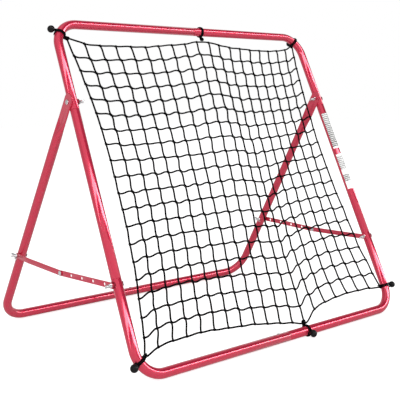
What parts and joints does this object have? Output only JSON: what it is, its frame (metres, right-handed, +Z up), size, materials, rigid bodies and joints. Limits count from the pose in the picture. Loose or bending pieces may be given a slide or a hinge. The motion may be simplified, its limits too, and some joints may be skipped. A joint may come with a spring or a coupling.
{
  "type": "pitching target net",
  "caption": "Square tubular rebounder frame leaning back on a folding U-shaped stand with braced legs, a knotted net held inside it by ball bungees.",
  "frame": {"origin": "on the floor under the middle of the frame, on the lowest facet of the front bottom tube", "axes": "+Z up, +Y from the front bottom tube towards the rear stand, +X to the right of someone facing the net"},
  "size_m": [1.0262, 0.7296, 0.8747],
  "materials": {
    "red_paint": "glossy crimson powder coat",
    "zinc_fasteners": "bright zinc plate",
    "washer_plastic": "dark red moulded plastic, satin",
    "net_cord": "black twisted cord, knotted",
    "bungee_cord": "black braided elastic cord",
    "bungee_ball": "black moulded plastic, semi-gloss",
    "label_film": "white film, left blank"
  },
  "bodies": {
    "frame": {"frame_top_left_tube": "red_paint", "frame_top_right_tube": "red_paint", "frame_left_middle_tube": "red_paint", "frame_right_middle_tube": "red_paint", "frame_bottom_left_tube": "red_paint", "frame_bottom_right_tube": "red_paint", "left_pivot_bolt": "zinc_fasteners", "right_pivot_bolt": "zinc_fasteners", "left_front_brace_bolt": "zinc_fasteners", "right_front_brace_bolt": "zinc_fasteners", "left_pivot_saddle_washer": "washer_plastic", "left_brace_saddle_washer": "washer_plastic", "right_pivot_saddle_washer": "washer_plastic", "right_brace_saddle_washer": "washer_plastic", "top_joint_screw": "zinc_fasteners", "bottom_joint_screw": "zinc_fasteners", "net": "net_cord", "top_left_bungee_cord": "bungee_cord", "top_middle_bungee_cord": "bungee_cord", "top_right_bungee_cord": "bungee_cord", "bottom_left_bungee_cord": "bungee_cord", "bottom_middle_bungee_cord": "bungee_cord", "bottom_right_bungee_cord": "bungee_cord", "top_left_bungee_ball": "bungee_ball", "top_middle_bungee_ball": "bungee_ball", "top_right_bungee_ball": "bungee_ball", "bottom_left_bungee_ball": "bungee_ball", "bottom_middle_bungee_ball": "bungee_ball", "bottom_right_bungee_ball": "bungee_ball", "upper_label": "label_film", "lower_label": "label_film"},
    "stand": {"stand_left_tube": "red_paint", "stand_right_tube": "red_paint", "rear_joint_screw": "zinc_fasteners", "left_rear_brace_bolt": "zinc_fasteners", "right_rear_brace_bolt": "zinc_fasteners"},
    "left_front_brace": {"left_front_brace_bar": "red_paint"},
    "left_rear_brace": {"left_rear_brace_bar": "red_paint", "left_brace_middle_bolt": "zinc_fasteners"},
    "right_front_brace": {"right_front_brace_bar": "red_paint", "right_brace_middle_bolt": "zinc_fasteners"},
    "right_rear_brace": {"right_rear_brace_bar": "red_paint"},
    "left_pivot_nut": {"left_pivot_wing_nut": "zinc_fasteners"},
    "left_front_nut": {"left_front_brace_wing_nut": "zinc_fasteners"},
    "left_rear_nut": {"left_rear_brace_wing_nut": "zinc_fasteners"},
    "left_middle_nut": {"left_brace_middle_wing_nut": "zinc_fasteners"},
    "right_pivot_nut": {"right_pivot_wing_nut": "zinc_fasteners"},
    "right_front_nut": {"right_front_brace_wing_nut": "zinc_fasteners"},
    "right_rear_nut": {"right_rear_brace_wing_nut": "zinc_fasteners"},
    "right_middle_nut": {"right_brace_middle_wing_nut": "zinc_fasteners"}
  },
  "joints": [
    {"name": "stand_fold", "type": "hinge", "parent": "frame", "child": "stand", "pos_m": [0, 0.30222, 0.64587], "axis": [-1, 0, 0], "range_deg": [0, 38]},
    {"name": "left_front_brace_swing", "type": "hinge", "parent": "frame", "child": "left_front_brace", "pos_m": [-0.48385, 0.09557, 0.21263], "axis": [-1, 0, 0], "range_deg": [0, 86.9]},
    {"name": "left_rear_brace_swing", "type": "hinge", "parent": "stand", "child": "left_rear_brace", "pos_m": [-0.49605, 0.56104, 0.21341], "axis": [1, 0, 0], "range_deg": [0, 85.6]},
    {"name": "right_front_brace_swing", "type": "hinge", "parent": "frame", "child": "right_front_brace", "pos_m": [0.45395, 0.09557, 0.21263], "axis": [-1, 0, 0], "range_deg": [0, 98.9]},
    {"name": "right_rear_brace_swing", "type": "hinge", "parent": "stand", "child": "right_rear_brace", "pos_m": [0.46605, 0.56104, 0.21341], "axis": [1, 0, 0], "range_deg": [0, 76.1]},
    {"name": "left_pivot_nut_turn", "type": "hinge", "parent": "frame", "child": "left_pivot_nut", "pos_m": [-0.4519, 0.30222, 0.64587], "axis": [1, 0, 0], "continuous": true},
    {"name": "left_front_nut_turn", "type": "hinge", "parent": "frame", "child": "left_front_nut", "pos_m": [-0.4849, 0.09557, 0.21263], "axis": [-1, 0, 0], "continuous": true},
    {"name": "left_rear_nut_turn", "type": "hinge", "parent": "stand", "child": "left_rear_nut", "pos_m": [-0.4971, 0.56104, 0.21341], "axis": [-1, 0, 0], "continuous": true},
    {"name": "left_middle_nut_turn", "type": "hinge", "parent": "left_front_brace", "child": "left_middle_nut", "pos_m": [-0.4828, 0.33629, 0.20103], "axis": [1, 0, 0], "continuous": true},
    {"name": "right_pivot_nut_turn", "type": "hinge", "parent": "frame", "child": "right_pivot_nut", "pos_m": [0.4507, 0.30222, 0.64587], "axis": [-1, 0, 0], "continuous": true},
    {"name": "right_front_nut_turn", "type": "hinge", "parent": "frame", "child": "right_front_nut", "pos_m": [0.4529, 0.09557, 0.21263], "axis": [-1, 0, 0], "continuous": true},
    {"name": "right_rear_nut_turn", "type": "hinge", "parent": "stand", "child": "right_rear_nut", "pos_m": [0.4397, 0.56104, 0.21341], "axis": [-1, 0, 0], "continuous": true},
    {"name": "right_middle_nut_turn", "type": "hinge", "parent": "right_rear_brace", "child": "right_middle_nut", "pos_m": [0.462, 0.32015, 0.20621], "axis": [1, 0, 0], "continuous": true}
  ],
  "couplings": [
    {"joint": "left_front_brace_swing", "follows": "stand_fold", "ratio": 2.2853},
    {"joint": "left_rear_brace_swing", "follows": "stand_fold", "ratio": 2.2504},
    {"joint": "right_front_brace_swing", "follows": "stand_fold", "ratio": 2.6022},
    {"joint": "right_rear_brace_swing", "follows": "stand_fold", "ratio": 2.0001}
  ]
}
